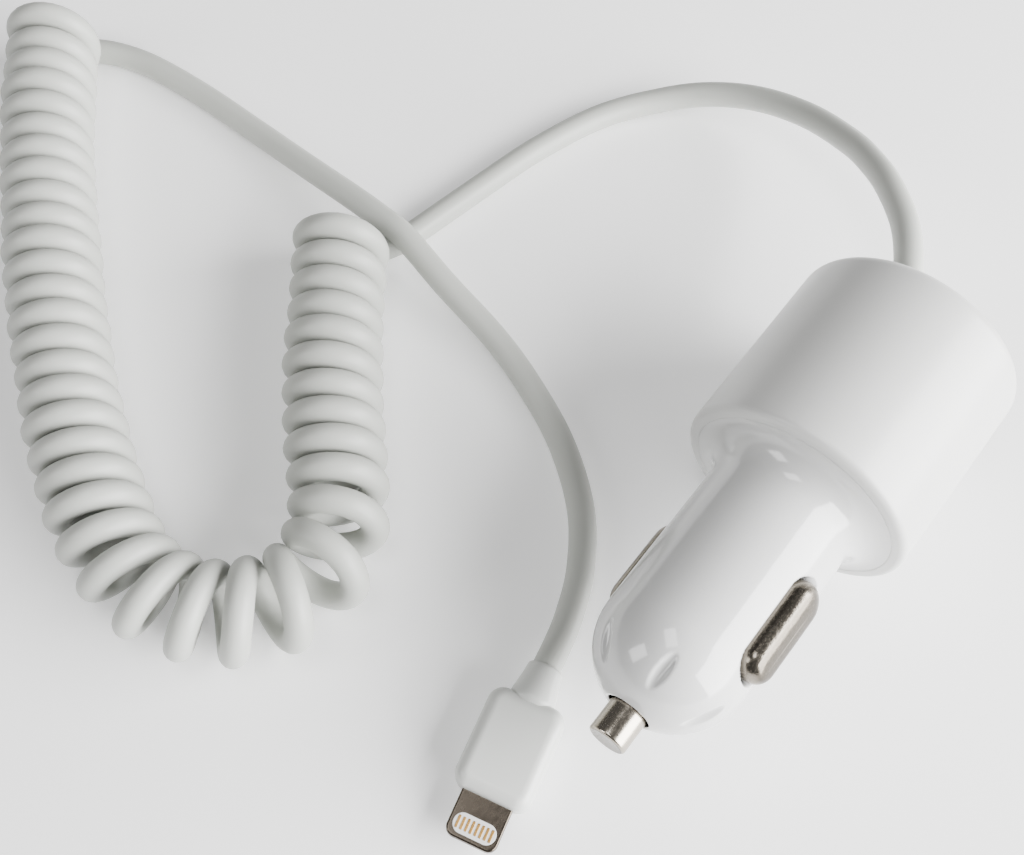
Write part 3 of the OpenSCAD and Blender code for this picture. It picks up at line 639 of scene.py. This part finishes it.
def curl():
    """The curly stretch, from the charger's end to the phone plug's: a helix about the curl's smoothed
    route. Its turns touch on the inside of a bend: the pitch is the closed pitch / (1 - curvature x radius),
    with that product held to 0.45. Slow sine waves vary the pitch and the radius a little, and the last turn
    and a half at each end widens by a smooth step."""
    radius, closed, most_open = 5.4, 4.12, 0.45
    end_flare, flared_turns = 0.5, 1.5
    floor_gap, points_a_turn = 0.02, 30
    smoothings, left_off = 500, 17
    axis = through(np.array(CURL_ROUTE[::-1], float), 0.25)
    for _ in range(smoothings):
        axis[1:-1] = (axis[:-2] + 2 * axis[1:-1] + axis[2:]) / 4
    axis = axis[:-left_off]
    ahead = np.gradient(axis, axis=0)
    ahead /= np.linalg.norm(ahead, axis=1)[:, None]
    reach = np.concatenate([[0], np.cumsum(np.linalg.norm(np.diff(axis, axis=0), axis=1))])
    heading = np.unwrap(np.arctan2(ahead[:, 1], ahead[:, 0]))
    bend = np.convolve(np.abs(np.gradient(heading, reach)), np.ones(25) / 25, mode="same")
    wander = 0.012 * np.sin(reach / 7.3 + 1) + 0.008 * np.sin(reach / 3.1)
    pitch = closed * (1 + wander) / (1 - np.minimum(bend * radius, most_open))
    turns = np.concatenate([[0], np.cumsum(0.5 * (1 / pitch[1:] + 1 / pitch[:-1]) * np.diff(reach))])
    turns *= round(turns[-1]) / turns[-1]
    t = np.linspace(0, turns[-1], int(turns[-1] * points_a_turn) + 1)
    s = np.interp(t, turns, reach)
    centre = np.stack([np.interp(s, reach, axis[:, k]) for k in (0, 1)], -1)
    side = np.stack([np.interp(s, reach, ahead[:, 1]), -np.interp(s, reach, ahead[:, 0])], -1)
    phase = 2 * np.pi * t - np.pi / 2
    loose = radius - 0.10 - 0.08 * np.sin(s / 5.7) - 0.06 * np.sin(s / 2.3 + 2)
    loose += end_flare * (1 - soft_step(np.minimum(t, t[-1] - t) / flared_turns))
    xy = centre + (loose * np.cos(phase))[:, None] * side
    z = CORD_R + floor_gap + loose * (1 + np.sin(phase))
    return np.column_stack([xy, z])


def lead_line():
    """The lead's whole centreline. Near the joints between the curl and the plain stretches each point moves
    toward the mean of its neighbours, by a share that fades to nothing 16 points away."""
    overlap, reach, passes = 3, 16, 12
    line_a, coil, line_b = through(HEAD_LEAD, 1.2), curl(), through(PLUG_LEAD, 1.2)
    end = in_plug([[0, -0.8, 0], [0, -1.6, 0]])
    whole = np.vstack([line_a[:-overlap], coil[1:-1], line_b[overlap:], end])
    joints = (len(line_a) - overlap, len(line_a) - overlap + len(coil) - 2)
    index = np.arange(1, len(whole) - 1)
    near = soft_step(1 - np.min([np.abs(index - j) for j in joints], axis=0) / reach)[:, None]
    for _ in range(passes):
        eased = (whole[:-2] + 2 * whole[1:-1] + whole[2:]) / 4
        whole[1:-1] += near * (eased - whole[1:-1])
    return whole


def tube(name, path, radius, sides=20):
    """A round section carried along a path. Its frame is turned from ring to ring by the least amount that
    keeps it square to the path, so it doesn't twist. Each side vector is the last one less its part along
    the path."""
    ahead = np.gradient(path, axis=0)
    ahead /= np.linalg.norm(ahead, axis=1)[:, None]
    side = np.zeros_like(ahead)
    side[0] = np.cross(ahead[0], [0, 0, 1.0])
    for n in range(1, len(path)):
        side[n] = side[n - 1] - ahead[n] * (side[n - 1] @ ahead[n])
        side[n] /= np.linalg.norm(side[n])
    up = np.cross(side, ahead)
    a = np.linspace(0, 2 * np.pi, sides, endpoint=False)[None, :, None]
    grid = path[:, None] + radius * (np.cos(a) * side[:, None] + np.sin(a) * up[:, None])
    reach = np.concatenate([[0], np.cumsum(np.linalg.norm(np.diff(path, axis=0), axis=1))])
    return skin(name, grid, flow=reach), reach[-1]


# Phone plug

def plug_collar():
    """The short flared neck, a turned profile: it steps out from the lead, then widens slowly into the
    housing, where its section is 15% wider than it is tall."""
    p = [[1.6, 0.1], [2.0, 0.08], [2.25, 0.02], [2.42, -0.12], [2.5, -0.4], [2.52, -1.0], [2.55, -1.8],
         [2.6, -2.6], [2.66, -3.3], [2.72, -4.0], [2.76, -4.5], [2.78, -5.6], [1.2, -5.8]]
    a = np.linspace(0, 2 * np.pi, 64, endpoint=False)[None, :]
    r, y = np.array(p)[:, :1], np.array(p)[:, 1:]
    grid = np.stack([r * np.cos(a) * (1 + 0.15 * soft_step(-y / 5)), y + 0 * a, r * np.sin(a)], -1)
    return skin("plug_collar_moulding", in_plug(grid))


def plug_pieces():
    """The housing, the metal tab, its white pad and the eight gold contacts, each a flat block with rolled
    edges. Each block's numbers are its width, length, corner, lowest and highest height and edge."""
    front, housing_len, tab_len, tab_hidden, pad_ahead = -19.0, 14.2, 8.2, 2.2, 4.0
    contact_count, contact_pitch = 8, 0.66
    middle = (0, front + housing_len / 2)
    housing = skin("plug_housing_moulding",
                   in_plug(slab(10.8, housing_len, 2.2, -2.8, 2.8, 1.8, middle, 2.1, 12)))
    middle = (0, front + tab_hidden - tab_len / 2)
    tab = skin("plug_tab_milled", in_plug(slab(7.1, tab_len, 1.3, -0.75, 0.75, 0.3, middle)))
    pad = skin("plug_pad", in_plug(slab(5.9, 2.7, 1.3, -0.78, 0.78, 0.08, (0, front - pad_ahead))))
    strips = []
    for n in range(contact_count):
        middle = ((n - (contact_count - 1) / 2) * contact_pitch, front - pad_ahead)
        strips.append(slab(0.38, 1.7, 0.12, 0.70, 0.82, 0.04, middle, steps=3))
    return housing, tab, pad, strips


fit(shell_moulding(), WHITE, "charger", "white_shell", "plug_shell")
fit(head_moulding(), HEAD_WHITE, "charger", "white_shell", "head_cap")
fit(turned_pin(), NICKEL, "pin", "nickel", "centre_pin")
for side, name in ((1, "right"), (-1, "left")):
    fit(drawn_contact("drawn_contact_" + name, side), DULL_NICKEL, "contact_" + name, "nickel",
        "side_contact_" + name)
collar = fit(grommet(), LEAD, "charger", "white_lead", "lead_grommet")

path = lead_line()
lead, lead_length = tube("lead_tube", path, CORD_R)
fit(lead, LEAD, "charger", "white_lead", "cord_head_end", "cord_curly", "cord_plug_end")

neck = fit(plug_collar(), PLUG_WHITE, "charger", "plug_white", "plug_collar")
housing, tab, pad, strips = plug_pieces()
fit(housing, PLUG_WHITE, "charger", "plug_white", "plug_housing")
fit(tab, TAB_METAL, "charger", "dark_nickel", "plug_tab")
fit(pad, PAD, "charger", "white_insulator", "tab_insulator")
gold = [fit(skin("plug_gold_%d" % (n + 1), in_plug(strip)), GOLD, "charger", "contact_gold",
            *(["tab_contacts"] if n == 0 else [])) for n, strip in enumerate(strips)]
(path * MM).tolist()
[collar, neck, housing, tab, pad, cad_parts["plug_board"]] + gold


# Studio

def studio():
    """A pale floor that glows a little, a soft even sky, a large light on the right and two small ones for
    the gloss. Each light's row gives its bearing and height in degrees, its distance, size and power."""
    mesh = bpy.data.meshes.new("floor")
    mesh.from_pydata([(-3, -3, 0), (3, -3, 0), (3, 3, 0), (-3, 3, 0)], [], [(0, 1, 2, 3)])
    floor = bpy.data.objects.new("floor", mesh)
    bpy.context.scene.collection.objects.link(floor)
    f = Finish("pale_floor", (0.86, 0.86, 0.86), 0.7, Emission_Color=(1, 1, 1, 1), Emission_Strength=0.32)
    f.set("Base Color", f.mix(f.noise(40.0), (0.855, 0.855, 0.855), (0.865, 0.865, 0.865)))
    mesh.materials.append(f.material)
    world = bpy.data.worlds.new("studio")
    world.use_nodes = True
    world.node_tree.nodes["Background"].inputs["Color"].default_value = (1, 1, 1, 1)
    world.node_tree.nodes["Background"].inputs["Strength"].default_value = 0.13
    bpy.context.scene.world = world
    middle = np.array([-0.03, -0.008, 0.01])
    for name, around, rise, away, size, power in (
            ("key_softbox", 105, 22, 0.6, (0.8, 0.5), 28.0),
            ("left_window", -37, 31, 0.6, (0.17, 0.26), 1.1),
            ("high_window", -47, 79, 0.6, (0.26, 0.16), 1.0)):
        around, rise = np.radians(around), np.radians(rise)
        level = np.array([np.sin(around), -np.cos(around), 0]) * np.cos(rise)
        place = away * (level + np.array([0, 0, np.sin(rise)]))
        lamp = bpy.data.lights.new(name, "AREA")
        lamp.shape, lamp.size, lamp.size_y, lamp.energy = "RECTANGLE", size[0], size[1], power
        light = bpy.data.objects.new(name, lamp)
        back = place / np.linalg.norm(place)
        across = np.cross([0, 0, 1.0], back)
        across /= np.linalg.norm(across)
        columns = np.column_stack([across, np.cross(back, across), back, middle + place])
        light.matrix_world = Matrix(np.vstack([columns, [0, 0, 0, 1]]).tolist())
        bpy.context.scene.collection.objects.link(light)


def camera():
    """The photograph's view: from the right and the nose, well above the floor."""
    rise, around = np.radians(64.8814), np.radians(38.8401)
    back = np.array([np.sin(around) * np.cos(rise), -np.cos(around) * np.cos(rise), np.sin(rise)])
    right = np.array([np.cos(around), np.sin(around), 0])
    lens = bpy.data.cameras.new("photo_camera")
    lens.sensor_width, lens.lens = 36.0, 45.99
    lens.shift_x, lens.shift_y = 0.0461, 0.0045
    lens.clip_start, lens.clip_end = 0.01, 20
    eye = bpy.data.objects.new("photo_camera", lens)
    place = np.array([7.604, -72.051, 175.002]) * MM
    columns = np.column_stack([right, np.cross(back, right), back, place])
    eye.matrix_world = Matrix(np.vstack([columns, [0, 0, 0, 1]]).tolist())
    bpy.context.scene.collection.objects.link(eye)
    bpy.context.scene.camera = eye


studio()
camera()
